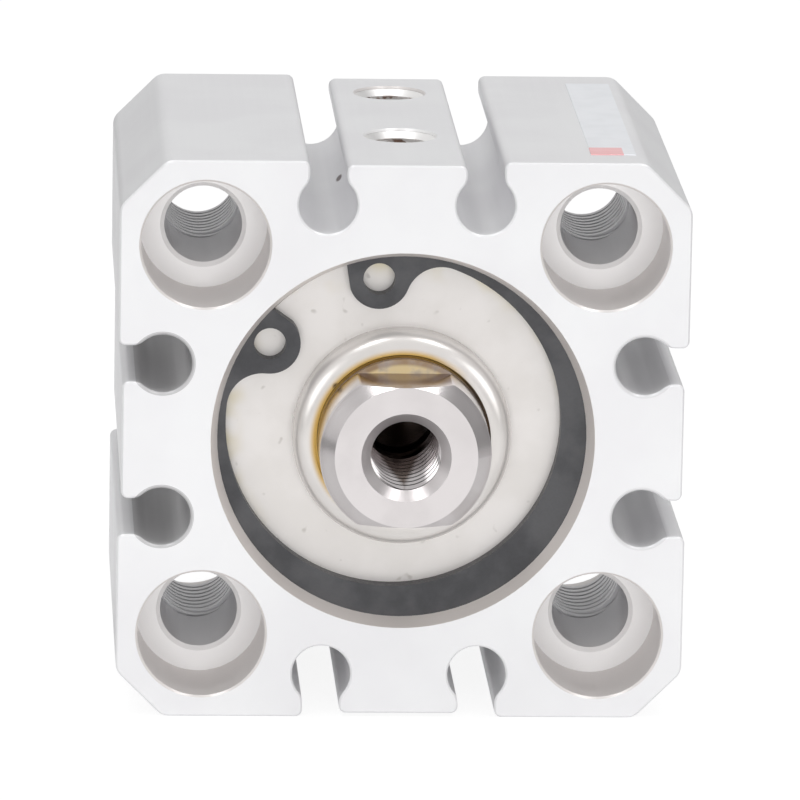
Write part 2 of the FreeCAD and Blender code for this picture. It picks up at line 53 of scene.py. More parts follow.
# Cylinder body: a square aluminium extrusion, sawn to length, bored and drilled, then clear anodised.
# The outside keeps a fine matt grain and faint lines from the die. The end mill leaves the counterbores
# smoother, the drill leaves rings in the corner holes, and the bore's mouth is a little tanned by oil.
mm = 0.001
bore_mouth_radius = 13.5 * mm
hole_half_pitch = 14.0 * mm
hole_corner = (hole_half_pitch, 0, hole_half_pitch)
counterbore_edge = 4.64 * mm
drill_edge = 3.02 * mm
body_middle = 16.25 * mm
floor_half_length = 9.27 * mm
drill_half_length = 8.95 * mm
drill_ring_step = 0.25 * mm
drill_ring_depth = 0.022 * mm
tapped_start = 15.9 * mm
port_middle = 19.0 * mm
port_half_pitch = 8.0 * mm
port_edge = 2.64 * mm
groove_middle = (16.9 * mm, 0, 5.5 * mm)
groove_edge = 2.3 * mm
across_bore = (1, 0, 1)
across_port = (1, 1, 0)

anodised_pale = (0.86, 0.86, 0.87)
anodised_deep = (0.83, 0.825, 0.84)
anodised_metal = 0.2
anodised_specular = 0.3
anodised_roughness = 0.4
# Painted light and shade: the counterbore walls are painted darker and warmer, and their floors paler than
# the body.
milled_wall_painted_shade = (0.77, 0.735, 0.72)
milled_floor_painted_light = (0.93, 0.92, 0.92)
drilled_wall = (0.80, 0.795, 0.81)
tanned_bore = (0.80, 0.75, 0.72)
# Painted shade: a dark grey laid into the side grooves, stronger on the left than on the right.
groove_painted_shade = (0.25, 0.24, 0.24)
groove_shade_span = (-groove_middle[0], groove_middle[0])
groove_shade_shares = (0.45, 0.15)
chip_mark = (0.16, 0.12, 0.12)
chip_place = (-4.03 * mm, 16.77 * mm, 15.44 * mm)
chip_reach = 0.36 * mm
chip_shape = (1, 0.35, 1)

cloud_grains = 110.0
cloud_detail = 3.0
cloud_span = (0.35, 0.65)
matt_grains = 7000.0
matt_depth = 0.0016 * mm
plain_detail = 2.0
die_line_grains = 2600.0
die_line_scale = (1, 0.01, 1)
grain_span = (0.3, 0.7)
matt_roughness = (0.36, 0.44)
# The denoiser takes a surface under 0.274 for a mirror, so no finish has noise that crosses that value.
milled_roughness = (0.285, 0.33)
whole = (0.0, 1.0)
fading = (1.0, 0.0)


def new_finish(name, colour, metallic, roughness):
    """A material whose even values sit on its shader's own sockets."""
    finish = bpy.data.materials.new(name)
    finish.use_nodes = True
    shader = finish.node_tree.nodes["Principled BSDF"]
    shader.inputs["Base Color"].default_value = (*colour, 1)
    shader.inputs["Metallic"].default_value = metallic
    shader.inputs["Roughness"].default_value = roughness
    return finish


def add_node(tree, kind, inputs, **settings):
    """A node with its settings, and its inputs set to values or linked to sockets of other nodes."""
    node = tree.nodes.new(kind)
    for key, value in settings.items():
        setattr(node, key, value)
    for key, value in inputs.items():
        if isinstance(value, bpy.types.NodeSocket):
            tree.links.new(value, node.inputs[key])
        else:
            node.inputs[key].default_value = value
    return node


def place_on(finish, scale=(1, 1, 1)):
    """The place on the piece in metres, with each axis stretched by a scale."""
    tree = finish.node_tree
    place = add_node(tree, "ShaderNodeTexCoord", {}).outputs["Object"]
    return add_node(tree, "ShaderNodeMapping", {"Vector": place, "Scale": scale}).outputs["Vector"]


def axis_of(finish, axis):
    """One coordinate of the place on the piece."""
    return add_node(finish.node_tree, "ShaderNodeSeparateXYZ", {"Vector": place_on(finish)}).outputs[axis]


def vector_math(finish, operation, first, second=(0, 0, 0)):
    node = add_node(finish.node_tree, "ShaderNodeVectorMath", {0: first, 1: second}, operation=operation)
    return node.outputs["Value" if operation in ("LENGTH", "DOT_PRODUCT") else "Vector"]


def number_math(finish, operation, first, second=0.0):
    return add_node(finish.node_tree, "ShaderNodeMath", {0: first, 1: second}, operation=operation).outputs[0]


def under(finish, value, limit):
    """1 where a value is under a limit, and 0 elsewhere."""
    return number_math(finish, "LESS_THAN", value, limit)


def over(finish, value, limit=0.0):
    """1 where a value is over a limit, and 0 elsewhere."""
    return number_math(finish, "GREATER_THAN", value, limit)


def product(finish, first, *others):
    """Values multiplied in their order: with shares, what all of them have in common."""
    for other in others:
        first = number_math(finish, "MULTIPLY", first, other)
    return first


def stretch(finish, value, span, result=whole):
    """A value taken smoothly from one span to another, and held at both ends."""
    inputs = {
        "Value": value, "From Min": span[0], "From Max": span[1], "To Min": result[0], "To Max": result[1]}
    node = add_node(finish.node_tree, "ShaderNodeMapRange", inputs, interpolation_type="SMOOTHSTEP")
    return node.outputs["Result"]


def noise_on(finish, grains, detail=plain_detail, scale=(1, 1, 1)):
    """Noise with so many grains to each metre of the piece, whose axes are stretched by a scale."""
    inputs = {"Vector": place_on(finish, scale), "Scale": grains, "Detail": detail}
    return add_node(finish.node_tree, "ShaderNodeTexNoise", inputs).outputs["Fac"]


def clouds_on(finish, grains, span, result=whole, detail=cloud_detail):
    """Noise whose values in one span are taken smoothly to another, which leaves soft clouds."""
    return stretch(finish, noise_on(finish, grains, detail), span, result)


def blend(finish, share, first, second):
    """A colour that goes from the first to the second as the share goes from 0 to 1."""
    node = add_node(finish.node_tree, "ShaderNodeMix", {"Factor": share}, data_type="RGBA")
    sockets = [socket for socket in node.inputs if socket.type == "RGBA"]
    for socket, colour in zip(sockets, (first, second)):
        if isinstance(colour, bpy.types.NodeSocket):
            finish.node_tree.links.new(colour, socket)
        else:
            socket.default_value = (*colour, 1)
    return next(socket for socket in node.outputs if socket.type == "RGBA")


def emboss(finish, height, depth=1.0):
    """A bump on which a height of 1 stands so many metres high."""
    inputs = {"Height": height, "Distance": depth}
    return add_node(finish.node_tree, "ShaderNodeBump", inputs).outputs["Normal"]


def drive(finish, **sockets):
    """Link sockets to inputs of the material's shader, whose names have _ for a space here."""
    shader = finish.node_tree.nodes["Principled BSDF"]
    for name, socket in sockets.items():
        finish.node_tree.links.new(socket, shader.inputs[name.replace("_", " ")])


def dress(finish, *nodes):
    """Give pieces of the frame their finish."""
    for node in nodes:
        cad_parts[node].data.materials[0] = finish


def bore_distance(finish):
    """Distance from the bore's axis."""
    return vector_math(finish, "LENGTH", place_on(finish, across_bore))


def mirrored_distance(finish, half_pitch, across, middle=(0, 0, 0)):
    """Distance from the nearest of some axes that stand half a pitch to each side of a middle."""
    place = vector_math(finish, "SUBTRACT", place_on(finish), middle)
    place = vector_math(finish, "SUBTRACT", vector_math(finish, "ABSOLUTE", place), half_pitch)
    return vector_math(finish, "LENGTH", vector_math(finish, "MULTIPLY", place, across))


def spot_on(finish, middle, reach, shape=(1, 1, 1)):
    """A soft spot: 1 up to half its reach from a middle, and 0 past its reach."""
    away = vector_math(finish, "SUBTRACT", place_on(finish), middle)
    away = vector_math(finish, "LENGTH", vector_math(finish, "MULTIPLY", away, shape))
    return stretch(finish, away, (reach / 2, reach), fading)


def anodised_finish():
    finish = new_finish("anodised_aluminium", anodised_pale, anodised_metal, anodised_roughness)
    shader = finish.node_tree.nodes["Principled BSDF"]
    shader.inputs["Specular IOR Level"].default_value = anodised_specular
    along = axis_of(finish, "Y")
    in_bore = under(finish, bore_distance(finish), bore_mouth_radius)
    hole_distance = mirrored_distance(finish, hole_corner, across_bore)
    in_hole = under(finish, hole_distance, counterbore_edge)
    from_middle = number_math(finish, "SUBTRACT", along, body_middle)
    from_middle = number_math(finish, "ABSOLUTE", from_middle)
    past_wall = under(finish, from_middle, floor_half_length)
    past_floor = under(finish, from_middle, drill_half_length)
    in_drill = product(finish, under(finish, hole_distance, drill_edge), past_floor)
    port_distance = mirrored_distance(finish, (0, port_half_pitch, 0), across_port, (0, port_middle, 0))
    upper = over(finish, axis_of(finish, "Z"))
    in_port = product(finish, under(finish, port_distance, port_edge), upper)
    milled = number_math(finish, "MAXIMUM", in_hole, in_port)

    clouds = clouds_on(finish, cloud_grains, cloud_span)
    colour = blend(finish, clouds, anodised_pale, anodised_deep)
    # Painted shade on the counterbore walls and painted light on their floors.
    colour = blend(finish, milled, colour, blend(finish, past_wall, milled_wall_painted_shade, milled_floor_painted_light))
    colour = blend(finish, in_drill, colour, drilled_wall)
    # Painted shade inside the side grooves, stronger towards the left.
    in_groove = under(finish, mirrored_distance(finish, groove_middle, across_bore), groove_edge)
    groove_shade = stretch(finish, axis_of(finish, "X"), groove_shade_span, groove_shade_shares)
    colour = blend(finish, product(finish, in_groove, groove_shade), colour, groove_painted_shade)
    colour = blend(finish, spot_on(finish, chip_place, chip_reach, chip_shape), colour, chip_mark)
    colour = blend(finish, in_bore, colour, tanned_bore)

    grain = noise_on(finish, matt_grains)
    die_lines = noise_on(finish, die_line_grains, scale=die_line_scale)
    matt = stretch(finish, die_lines, grain_span, matt_roughness)
    smooth = stretch(finish, clouds, whole, milled_roughness)
    roughness = add_node(finish.node_tree, "ShaderNodeMix", {"Factor": milled, "A": matt, "B": smooth})
    turns = product(finish, along, 2 * math.pi / drill_ring_step)
    untapped = under(finish, along, tapped_start)
    drill_rings = product(finish, number_math(finish, "SINE", turns), in_drill, untapped, drill_ring_depth)
    relief = product(finish, number_math(finish, "ADD", grain, die_lines), matt_depth)
    relief = number_math(finish, "ADD", relief, drill_rings)
    drive(
        finish, Base_Color=colour, Roughness=roughness.outputs["Result"], Normal=emboss(finish, relief))
    return finish


anodised = anodised_finish()
dress(anodised, "cylinder_body")

# Corner threads: the rear stretch of each corner hole is tapped for a screw from behind.
# The hole is drilled wider than a full thread needs, so the crests are flat and low.
# They are cut before anodising, and have the body's finish.
steps_per_turn = 48
run_out_steps = 16
thread_sink = 0.02 * mm
root_share = 7 / 8
flank_slope = math.tan(math.radians(30))
merge_reach = 0.0005 * mm
smooth_angle = math.radians(40)
corner_thread_radius = 3.0 * mm
corner_crest_radius = 2.75 * mm
corner_pitch = 1.0 * mm
rear_counterbore_floor = 25.5 * mm
corner_thread_length = rear_counterbore_floor - tapped_start
along_bore = Matrix.Rotation(math.radians(-90), 4, "X")


def closed_section(mesh, section):
    """The corners and edges of a closed section, whose points are each a radius and a height."""
    corners = [mesh.verts.new((radius, 0, rise)) for radius, rise in section]
    edges = [mesh.edges.new((corners[i - 1], corners[i])) for i in range(len(corners))]
    return corners, edges


def turn_thread(mesh, wall, crest, pitch, length, place):
    """A closed helical ridge inside a hole of radius wall along Z from 0 to a length, moved by a matrix.

    It runs out into the wall at both ends."""
    base = pitch * root_share
    top = base - 2 * (wall - crest) * flank_slope
    section = [(wall + thread_sink, 0), (wall + thread_sink, base),
               (crest, (base + top) / 2), (crest, (base - top) / 2)]
    corners, edges = closed_section(mesh, section)
    steps = int((length - base) / pitch * steps_per_turn)
    before = set(mesh.verts)
    bmesh.ops.spin(
        mesh, geom=corners + edges, cent=(0, 0, 0), axis=(0, 0, 1), dvec=(0, 0, pitch / steps_per_turn),
        angle=steps * 2 * math.pi / steps_per_turn, steps=steps)
    turned = corners + [vertex for vertex in mesh.verts if vertex not in before]
    ends = [edge for edge in mesh.edges if edge.is_boundary]
    bmesh.ops.holes_fill(mesh, edges=ends, sides=len(section))
    for number, vertex in enumerate(turned):
        step = number // len(section)
        share = min(1, (step + 1) / run_out_steps, (steps - step + 1) / run_out_steps)
        root = vertex.co.xy.normalized() * (wall + thread_sink)
        vertex.co.xy = root.lerp(vertex.co.xy, share)
    bmesh.ops.transform(mesh, matrix=place, verts=turned)


def finish_piece(name, mesh, finish, body):
    """Make an object of a mesh, with its normals outwards and shallow edges smooth, and fix it to a body."""
    bmesh.ops.remove_doubles(mesh, verts=mesh.verts, dist=merge_reach)
    bmesh.ops.recalc_face_normals(mesh, faces=mesh.faces)
    data = bpy.data.meshes.new(name)
    mesh.to_mesh(data)
    mesh.free()
    data.materials.append(finish)
    data.shade_smooth()
    data.set_sharp_from_angle(angle=smooth_angle)
    piece = bpy.data.objects.new(name, data)
    bpy.context.scene.collection.objects.link(piece)
    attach(piece, body)


corner_threads = bmesh.new()
for side in (-1, 1):
    for level in (-1, 1):
        start = Vector((side * hole_half_pitch, tapped_start, level * hole_half_pitch))
        turn_thread(corner_threads, corner_thread_radius, corner_crest_radius, corner_pitch,
                    corner_thread_length, Matrix.Translation(start) @ along_bore)
finish_piece("corner_threads", corner_threads, anodised, "barrel")

# Port threads: each air port on the top is tapped for a small air fitting, after anodising, so it is bare.
# A countersink at 45 degrees leads into the thread, which stops short of the port's floor.
# The cut metal is bright, with brown specks on the first crests near the mouth as painted shade.
port_thread_radius = 2.5 * mm
port_crest_radius = 2.07 * mm
port_pitch = 0.8 * mm
port_thread_start = 15.4 * mm
port_thread_length = 3.5 * mm
port_cone_top = 19.56 * mm
port_cone_land = 0.3 * mm
port_wall = port_thread_radius + thread_sink
port_cone_end = port_cone_top - (port_wall - port_crest_radius)
port_land_end = port_cone_end - port_cone_land
ring_steps = 96
bare_metal = 1.0
cut_alloy = (0.97, 0.96, 0.95)
cut_roughness = 0.42
cut_grains = 6000.0
cut_depth = 0.001 * mm
# Painted shade: brown specks on the first crests near the port's mouth.
crest_shade_brown = (0.36, 0.25, 0.20)
crest_shade_span = (18.95 * mm, 19.2 * mm)
speck_grains = 1500.0
speck_span = (0.45, 0.60)


def spin_ring(mesh, section, place):
    """A ring about Z from a closed section of points, each a radius and a height, moved by a matrix."""
    corners, edges = closed_section(mesh, section)
    before = set(mesh.verts)
    bmesh.ops.spin(
        mesh, geom=corners + edges, cent=(0, 0, 0), axis=(0, 0, 1), dvec=(0, 0, 0),
        angle=2 * math.pi, steps=ring_steps, use_merge=True)
    turned = corners + [vertex for vertex in mesh.verts if vertex not in before]
    bmesh.ops.transform(mesh, matrix=place, verts=turned)


def tapped_finish():
    finish = new_finish("cut_aluminium", cut_alloy, bare_metal, cut_roughness)
    specks = clouds_on(finish, speck_grains, speck_span, detail=plain_detail)
    # Painted shade as brown specks on the crests nearest the mouth.
    shaded_specks = product(finish, specks, stretch(finish, axis_of(finish, "Z"), crest_shade_span, fading))
    drive(
        finish, Base_Color=blend(finish, shaded_specks, cut_alloy, crest_shade_brown),
        Normal=emboss(finish, noise_on(finish, cut_grains), cut_depth))
    return finish


port_threads = bmesh.new()
port_mouth = [(port_wall, port_cone_top), (port_crest_radius, port_cone_end),
              (port_crest_radius, port_land_end), (port_wall, port_land_end)]
for side in (-1, 1):
    port_axis = Matrix.Translation((0, port_middle + side * port_half_pitch, 0))
    spin_ring(port_threads, port_mouth, port_axis)
    turn_thread(port_threads, port_thread_radius, port_crest_radius, port_pitch, port_thread_length,
                port_axis @ Matrix.Translation((0, 0, port_thread_start)))
finish_piece("port_threads", port_threads, tapped_finish(), "barrel")

# Piston rod: carbon steel bar, turned at both ends, hard chromed and ground, with two milled wrench flats.
# Fine rings from the turning tool show on its end face, and old grease has yellowed it behind the flats.
# The flats are painted brown as painted reflection and shade, and painted shade darkens the thread in its
# end.
rod_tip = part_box("piston_rod")[0].y
face_edge = 5.01 * mm
chamfer_end = -3.98 * mm
flat_end = -0.4 * mm
flat_front = flat_end - 0.02 * mm
flat_near = 4.96 * mm
flat_far = 5.92 * mm
hole_wall = 3.03 * mm
cone_edge = 3.15 * mm
cone_bottom = 0.72 * mm
turning_step = 0.09 * mm
turning_depth = 0.0006 * mm

rod_bright = (0.72, 0.685, 0.685)
rod_grey = (0.68, 0.645, 0.645)
rod_roughness = 0.18
rod_cloud_grains = 300.0
rod_cloud_span = (0.35, 0.7)
ground_roughness = (0.15, 0.20)
chamfer_roughening = 0.07
cone_roughening = 0.2
yellow_grease = (0.78, 0.63, 0.36)
grease_fade = (-0.1 * mm, 0.3 * mm)
grease_metal = (1.0, 0.15)
streak_grains = 900.0
streak_span = (0.3, 0.6)
streak_shares = (0.5, 1.0)
edge_grease = (0.36, 0.25, 0.155)
edge_span = (5.45 * mm, 5.75 * mm)
# Painted reflection and shade: brown on the flats, darkest towards the shoulder.
flat_reflection_and_shade = (0.24, 0.17, 0.16)
flat_shade_span = (-4.5 * mm, -2.6 * mm)
# Painted shade in the thread in the rod's end: darker with depth, starting nearest the mouth at the top and
# bottom and leaving the sides light.
thread_painted_shade = (0.22, 0.18, 0.16)
thread_shade_depths = (rod_tip + 0.75 * mm, rod_tip + 4.0 * mm)
thread_shade_slope = 5.5


def rod_finish():
    finish = new_finish("ground_steel", rod_bright, bare_metal, rod_roughness)
    axis_distance = bore_distance(finish)
    along = axis_of(finish, "Y")
    clouds = clouds_on(finish, rod_cloud_grains, rod_cloud_span)
    steel = blend(finish, clouds, rod_bright, rod_grey)

    outside = over(finish, axis_distance, flat_near)
    reached = stretch(finish, along, (flat_front, flat_end))
    left = stretch(finish, along, grease_fade, fading)
    streaks = clouds_on(finish, streak_grains, streak_span, streak_shares)
    greased = product(finish, reached, left, streaks, outside)
    grease = blend(finish, stretch(finish, axis_distance, edge_span), yellow_grease, edge_grease)
    colour = blend(finish, greased, steel, grease)
    on_flat = product(
        finish, outside, under(finish, axis_distance, flat_far), under(finish, along, flat_front))
    # Painted reflection and shade on the flats.
    flat_shaded = product(finish, on_flat, stretch(finish, along, flat_shade_span))
    colour = blend(finish, flat_shaded, colour, flat_reflection_and_shade)
    # Painted shade in the end thread, darker deeper in and towards its top and bottom.
    in_thread = under(finish, axis_distance, hole_wall)
    climb = number_math(finish, "ABSOLUTE", axis_of(finish, "X"))
    shade_edge = number_math(finish, "SUBTRACT", along, product(finish, climb, thread_shade_slope))
    thread_shaded = product(finish, in_thread, stretch(finish, shade_edge, thread_shade_depths))
    colour = blend(finish, thread_shaded, colour, thread_painted_shade)

    on_chamfer = product(finish, over(finish, axis_distance, face_edge), under(finish, along, chamfer_end))
    at_mouth = under(finish, along, rod_tip + cone_bottom)
    on_cone = product(finish, under(finish, axis_distance, cone_edge), at_mouth)
    roughness = stretch(finish, clouds, whole, ground_roughness)
    roughness = number_math(finish, "ADD", roughness, product(finish, on_chamfer, chamfer_roughening))
    roughness = number_math(finish, "ADD", roughness, product(finish, on_cone, cone_roughening))
    rings = number_math(finish, "SINE", product(finish, axis_distance, 2 * math.pi / turning_step))
    drive(
        finish, Base_Color=colour, Metallic=stretch(finish, greased, whole, grease_metal),
        Roughness=roughness, Normal=emboss(finish, rings, turning_depth))
    return finish


ground_steel = rod_finish()
dress(ground_steel, "piston_rod")

# Rod thread: the female thread in the rod's end, which carries the load, cut into the rod and moving with it.
# A countersink at 45 degrees takes the first crests away, and leaves a clean cone at the mouth.
rod_thread_radius = 3.0 * mm
rod_crest_radius = 2.46 * mm
rod_pitch = 1.0 * mm
rod_thread_length = 11.2 * mm
rod_wall = rod_thread_radius + thread_sink
cone_lead = 0.2 * mm
cone_land = 0.2 * mm
cone_depth = cone_edge - rod_crest_radius
land_end = cone_depth + cone_land
rod_thread_start = cone_depth - rod_pitch / 4

rod_thread = bmesh.new()
rod_mouth = Matrix.Translation((0, rod_tip, 0)) @ along_bore
rod_cone = [(cone_edge, 0), (rod_crest_radius, cone_depth), (rod_crest_radius, land_end),
            (rod_wall, land_end), (rod_wall, cone_lead)]
spin_ring(rod_thread, rod_cone, rod_mouth)
turn_thread(rod_thread, rod_thread_radius, rod_crest_radius, rod_pitch, rod_thread_length,
            rod_mouth @ Matrix.Translation((0, 0, rod_thread_start)))
finish_piece("rod_thread", rod_thread, ground_steel, "rod")

# Piston: a turned aluminium disc that a countersunk screw pulls against the rod's heel.
# The screw is blackened steel. Neither shows on the closed cylinder.
piston_alloy = (0.72, 0.72, 0.74)
piston_mottle = (0.66, 0.66, 0.69)
piston_roughness = 0.35
blackened = (0.07, 0.07, 0.075)
blackened_mottle = (0.10, 0.09, 0.085)
blackened_metal = 0.9
blackened_roughness = 0.4
mottle_grains = 300.0
roughness_spread = 0.06


def mottled_finish(name, colour, mottle, metallic, roughness):
    """A plain finish with a fine grain and faint clouds of a second colour."""
    finish = new_finish(name, colour, metallic, roughness)
    clouds = clouds_on(finish, mottle_grains, cloud_span)
    grain = noise_on(finish, cut_grains)
    roughness_span = (roughness - roughness_spread, roughness + roughness_spread)
    drive(
        finish, Base_Color=blend(finish, clouds, colour, mottle),
        Roughness=stretch(finish, grain, grain_span, roughness_span),
        Normal=emboss(finish, grain, cut_depth))
    return finish


turned_alloy = mottled_finish("turned_alloy", piston_alloy, piston_mottle, bare_metal, piston_roughness)
dress(turned_alloy, "piston")
blackened_steel = mottled_finish(
    "blackened_steel", blackened, blackened_mottle, blackened_metal, blackened_roughness)
dress(blackened_steel, "piston_screw")

# Seals and bumpers: nitrile rubber lips and rings, and two amber urethane cushions in the piston's faces.
# They are moulded, so they are smooth with a faint bloom.
no_metal = 0.0
nitrile = (0.018, 0.018, 0.02)
nitrile_bloom = (0.035, 0.035, 0.035)
nitrile_roughness = 0.5
urethane = (0.42, 0.30, 0.10)
urethane_bloom = (0.36, 0.25, 0.08)
urethane_roughness = 0.42

rubber = mottled_finish("nitrile_rubber", nitrile, nitrile_bloom, no_metal, nitrile_roughness)
dress(rubber, "rod_seal", "rod_cover_o_ring", "rear_cover_o_ring", "piston_seal", "piston_rod_o_ring")
cushion = mottled_finish("amber_urethane", urethane, urethane_bloom, no_metal, urethane_roughness)
dress(cushion, "front_bumper", "rear_bumper")

# Covers: two cast and turned alloy discs that close the bore, the front one with a boss around the rod.
# They are pale and faintly pitted. Oil has yellowed them where they meet the wall, and has run out past the
# rod and left a golden edge on the boss, thickest at its upper left, with one dark drip.
front_cover_end = 10.0 * mm
boss_radius = 7.7 * mm
boss_span = (boss_radius, boss_radius + 0.05 * mm)
boss_hole_radius = 6.2 * mm
gold_span = (boss_hole_radius, boss_hole_radius + 0.5 * mm)
stain_span = (10.8 * mm, 13.0 * mm)
drip_place = (-4.75 * mm, 0.4 * mm, 3.9 * mm)
drip_reach = 0.4 * mm

cover_pale = (0.83, 0.80, 0.78)
cover_dull = (0.78, 0.75, 0.725)
cover_pit = (0.58, 0.55, 0.52)
cover_metal = 0.45
cover_roughness = 0.38
boss_to_disc_roughness = (0.26, 0.42)
cover_grains = 5200.0
cover_depth = 0.0012 * mm
cover_cloud_grains = 260.0
cover_cloud_detail = 4.0
cover_cloud_span = (0.35, 0.68)
pit_grains = 1100.0
pit_detail = 1.0
pit_span = (0.70, 0.80)
oil_stain = (0.68, 0.60, 0.40)
patch_grains = 330.0
patch_span = (0.42, 0.68)
oil_gold = (0.64, 0.41, 0.11)
oil_drip = (0.09, 0.05, 0.02)
oil_side = (-0.75, 0, 0.66)
oil_span = (-0.5 * mm, 4.0 * mm)
oil_run_grains = 700.0
oil_run_reach = 2.0 * mm


def oil_share(finish):
    """Where the oil has run: 1 at the upper left of the rod, 0 at its lower right."""
    aside = vector_math(finish, "DOT_PRODUCT", place_on(finish), oil_side)
    runs = product(finish, noise_on(finish, oil_run_grains), oil_run_reach)
    return stretch(finish, number_math(finish, "ADD", aside, runs), oil_span)


def cover_finish():
    finish = new_finish("cover_alloy", cover_pale, cover_metal, cover_roughness)
    axis_distance = bore_distance(finish)
    on_disc = stretch(finish, axis_distance, boss_span)
    clouds = clouds_on(finish, cover_cloud_grains, cover_cloud_span, detail=cover_cloud_detail)
    colour = blend(finish, clouds, cover_pale, cover_dull)
    patches = clouds_on(finish, patch_grains, patch_span, detail=plain_detail)
    stained = product(finish, stretch(finish, axis_distance, stain_span), patches)
    colour = blend(finish, stained, colour, oil_stain)
    pits = clouds_on(finish, pit_grains, pit_span, detail=pit_detail)
    colour = blend(finish, product(finish, pits, on_disc), colour, cover_pit)
    edge = stretch(finish, axis_distance, gold_span, fading)
    at_front = under(finish, axis_of(finish, "Y"), front_cover_end)
    colour = blend(finish, product(finish, edge, at_front, oil_share(finish)), colour, oil_gold)
    colour = blend(finish, spot_on(finish, drip_place, drip_reach), colour, oil_drip)
    drive(
        finish, Base_Color=colour, Roughness=stretch(finish, on_disc, whole, boss_to_disc_roughness),
        Normal=emboss(finish, noise_on(finish, cover_grains), cover_depth))
    return finish


dress(cover_finish(), "rod_cover", "rear_cover")

# Rod bush: a sintered bronze sleeve pressed into the front cover, soaked in oil.
# Only its front edge shows around the rod, golden where the oil is fresh and nearly black elsewhere.
bronze_gold = (0.80, 0.52, 0.15)
bronze_dark = (0.10, 0.07, 0.05)
bronze_roughness = 0.35


def bronze_finish():
    finish = new_finish("oiled_bronze", bronze_gold, bare_metal, bronze_roughness)
    drive(
        finish, Base_Color=blend(finish, oil_share(finish), bronze_dark, bronze_gold),
        Normal=emboss(finish, noise_on(finish, cut_grains), cut_depth))
    return finish


dress(bronze_finish(), "rod_bush")

# Retaining rings: spring steel stampings in grooves near the bore's ends, which hold the covers.
# They are phosphated dark grey, with a slightly mottled dull face.
phosphate = (0.075, 0.075, 0.08)
phosphate_mottle = (0.11, 0.11, 0.115)
phosphate_metal = 0.55
phosphate_roughness = 0.48

ring_steel = mottled_finish(
    "phosphated_steel", phosphate, phosphate_mottle, phosphate_metal, phosphate_roughness)
dress(ring_steel, "front_retaining_ring", "rear_retaining_ring")

# Label: a blank strip of silvery foil on the right land of the top, with one plain red bar near its front.
# The foil is stuck on after anodising and is slightly cloudy.
label_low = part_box("blank_label")[0]
bar_right = label_low.x + 2.3 * mm
bar_rear = label_low.y + 2.4 * mm
bar_red = (0.98, 0.54, 0.55)
foil_pale = (0.92, 0.935, 0.97)
foil_cloud = (0.89, 0.905, 0.935)
foil_metal = 0.25
foil_roughness = 0.4
foil_cloud_grains = 500.0
foil_cloud_span = (0.35, 0.7)
foil_cloud_roughness = (0.34, 0.48)


def foil_finish():
    finish = new_finish("label_foil", foil_pale, foil_metal, foil_roughness)
    clouds = clouds_on(finish, foil_cloud_grains, foil_cloud_span)
    foil = blend(finish, clouds, foil_pale, foil_cloud)
    across = under(finish, axis_of(finish, "X"), bar_right)
    ahead = under(finish, axis_of(finish, "Y"), bar_rear)
    drive(
        finish, Base_Color=blend(finish, product(finish, across, ahead), foil, bar_red),
        Roughness=stretch(finish, clouds, whole, foil_cloud_roughness))
    return finish


dress(foil_finish(), "blank_label")

# Table: a round sheet of white paper under the cylinder, which keeps the cylinder's soft shadow.
# It looks white to the eye and in reflections, and is grey to the sides, so that they throw less light back.
# Bright metal mirrors it a little darker close to the cylinder, where the shadow lies.
table_radius = 3.0
table_steps = 96
table_level = cad_low.z
table_white = (0.85, 0.85, 0.85)
seen_share = 0.25
seen_white = (*(seen_share * channel for channel in table_white), 1)
seen_glow = 0.88
mirrored_glow = 1.08
aside_grey = (0.20, 0.20, 0.20)
aside_glow = 0.25
aside_span = (0.05, 0.20)
near_glow = 0.72
near_span = (0.015, 0.045)

table_mesh = bmesh.new()
bmesh.ops.create_circle(
    table_mesh, cap_ends=True, segments=table_steps, radius=table_radius,
    matrix=Matrix.Translation((0, 0, table_level)))
table_data = bpy.data.meshes.new("table")
table_mesh.to_mesh(table_data)
table_mesh.free()
table = bpy.data.objects.new("table", table_data)
bpy.context.scene.collection.objects.link(table)

paper = bpy.data.materials.new("table_paper")
paper.use_nodes = True
paper.cycles.emission_sampling = "NONE"
sheet = paper.node_tree
sheet.nodes.clear()
aside = stretch(paper, number_math(paper, "ABSOLUTE", axis_of(paper, "X")), aside_span)
lit = add_node(sheet, "ShaderNodeBsdfDiffuse", {"Color": blend(paper, aside, table_white, aside_grey)})
faint = add_node(sheet, "ShaderNodeBsdfDiffuse", {"Color": seen_white})
glow = add_node(sheet, "ShaderNodeEmission", {"Strength": seen_glow})
to_eye = add_node(sheet, "ShaderNodeAddShader", {0: faint.outputs[0], 1: glow.outputs[0]})
near = number_math(paper, "ABSOLUTE", axis_of(paper, "Y"))
near_white = stretch(paper, near, near_span, (near_glow, mirrored_glow))
aside_white = stretch(paper, aside, whole, (mirrored_glow, aside_glow))
mirrored_white = number_math(paper, "MINIMUM", near_white, aside_white)
bright = add_node(sheet, "ShaderNodeEmission", {"Strength": mirrored_white})
path = add_node(sheet, "ShaderNodeLightPath", {}).outputs
mirrored = number_math(paper, "MAXIMUM", path["Is Glossy Ray"], path["Is Transmission Ray"])
look = add_node(
    sheet, "ShaderNodeMixShader", {0: path["Is Camera Ray"], 1: lit.outputs[0], 2: to_eye.outputs[0]})
look = add_node(sheet, "ShaderNodeMixShader", {0: mirrored, 1: look.outputs[0], 2: bright.outputs[0]})
add_node(sheet, "ShaderNodeOutputMaterial", {"Surface": look.outputs[0]})
table_data.materials.append(paper)

# Tent: white cloth all around, brighter behind than in front, and dim to the left and right.
# A bright window to each side of the camera shows in reflections only, and the camera sees plain white.
tent_white = (1, 1, 1, 1)
front_light = 0.62
back_light = 0.80
front_to_back = (-0.5, 0.5)
left_light = 0.70
left_fill = 0.02
left_span = (-0.85, -0.35)
right_light = 0.32
right_fill = 0.12
right_span = (0.35, 0.85)
window_light = 2.3
window_way = (0.779, -0.563, 0.279)
window_span = (0.93, 0.985)

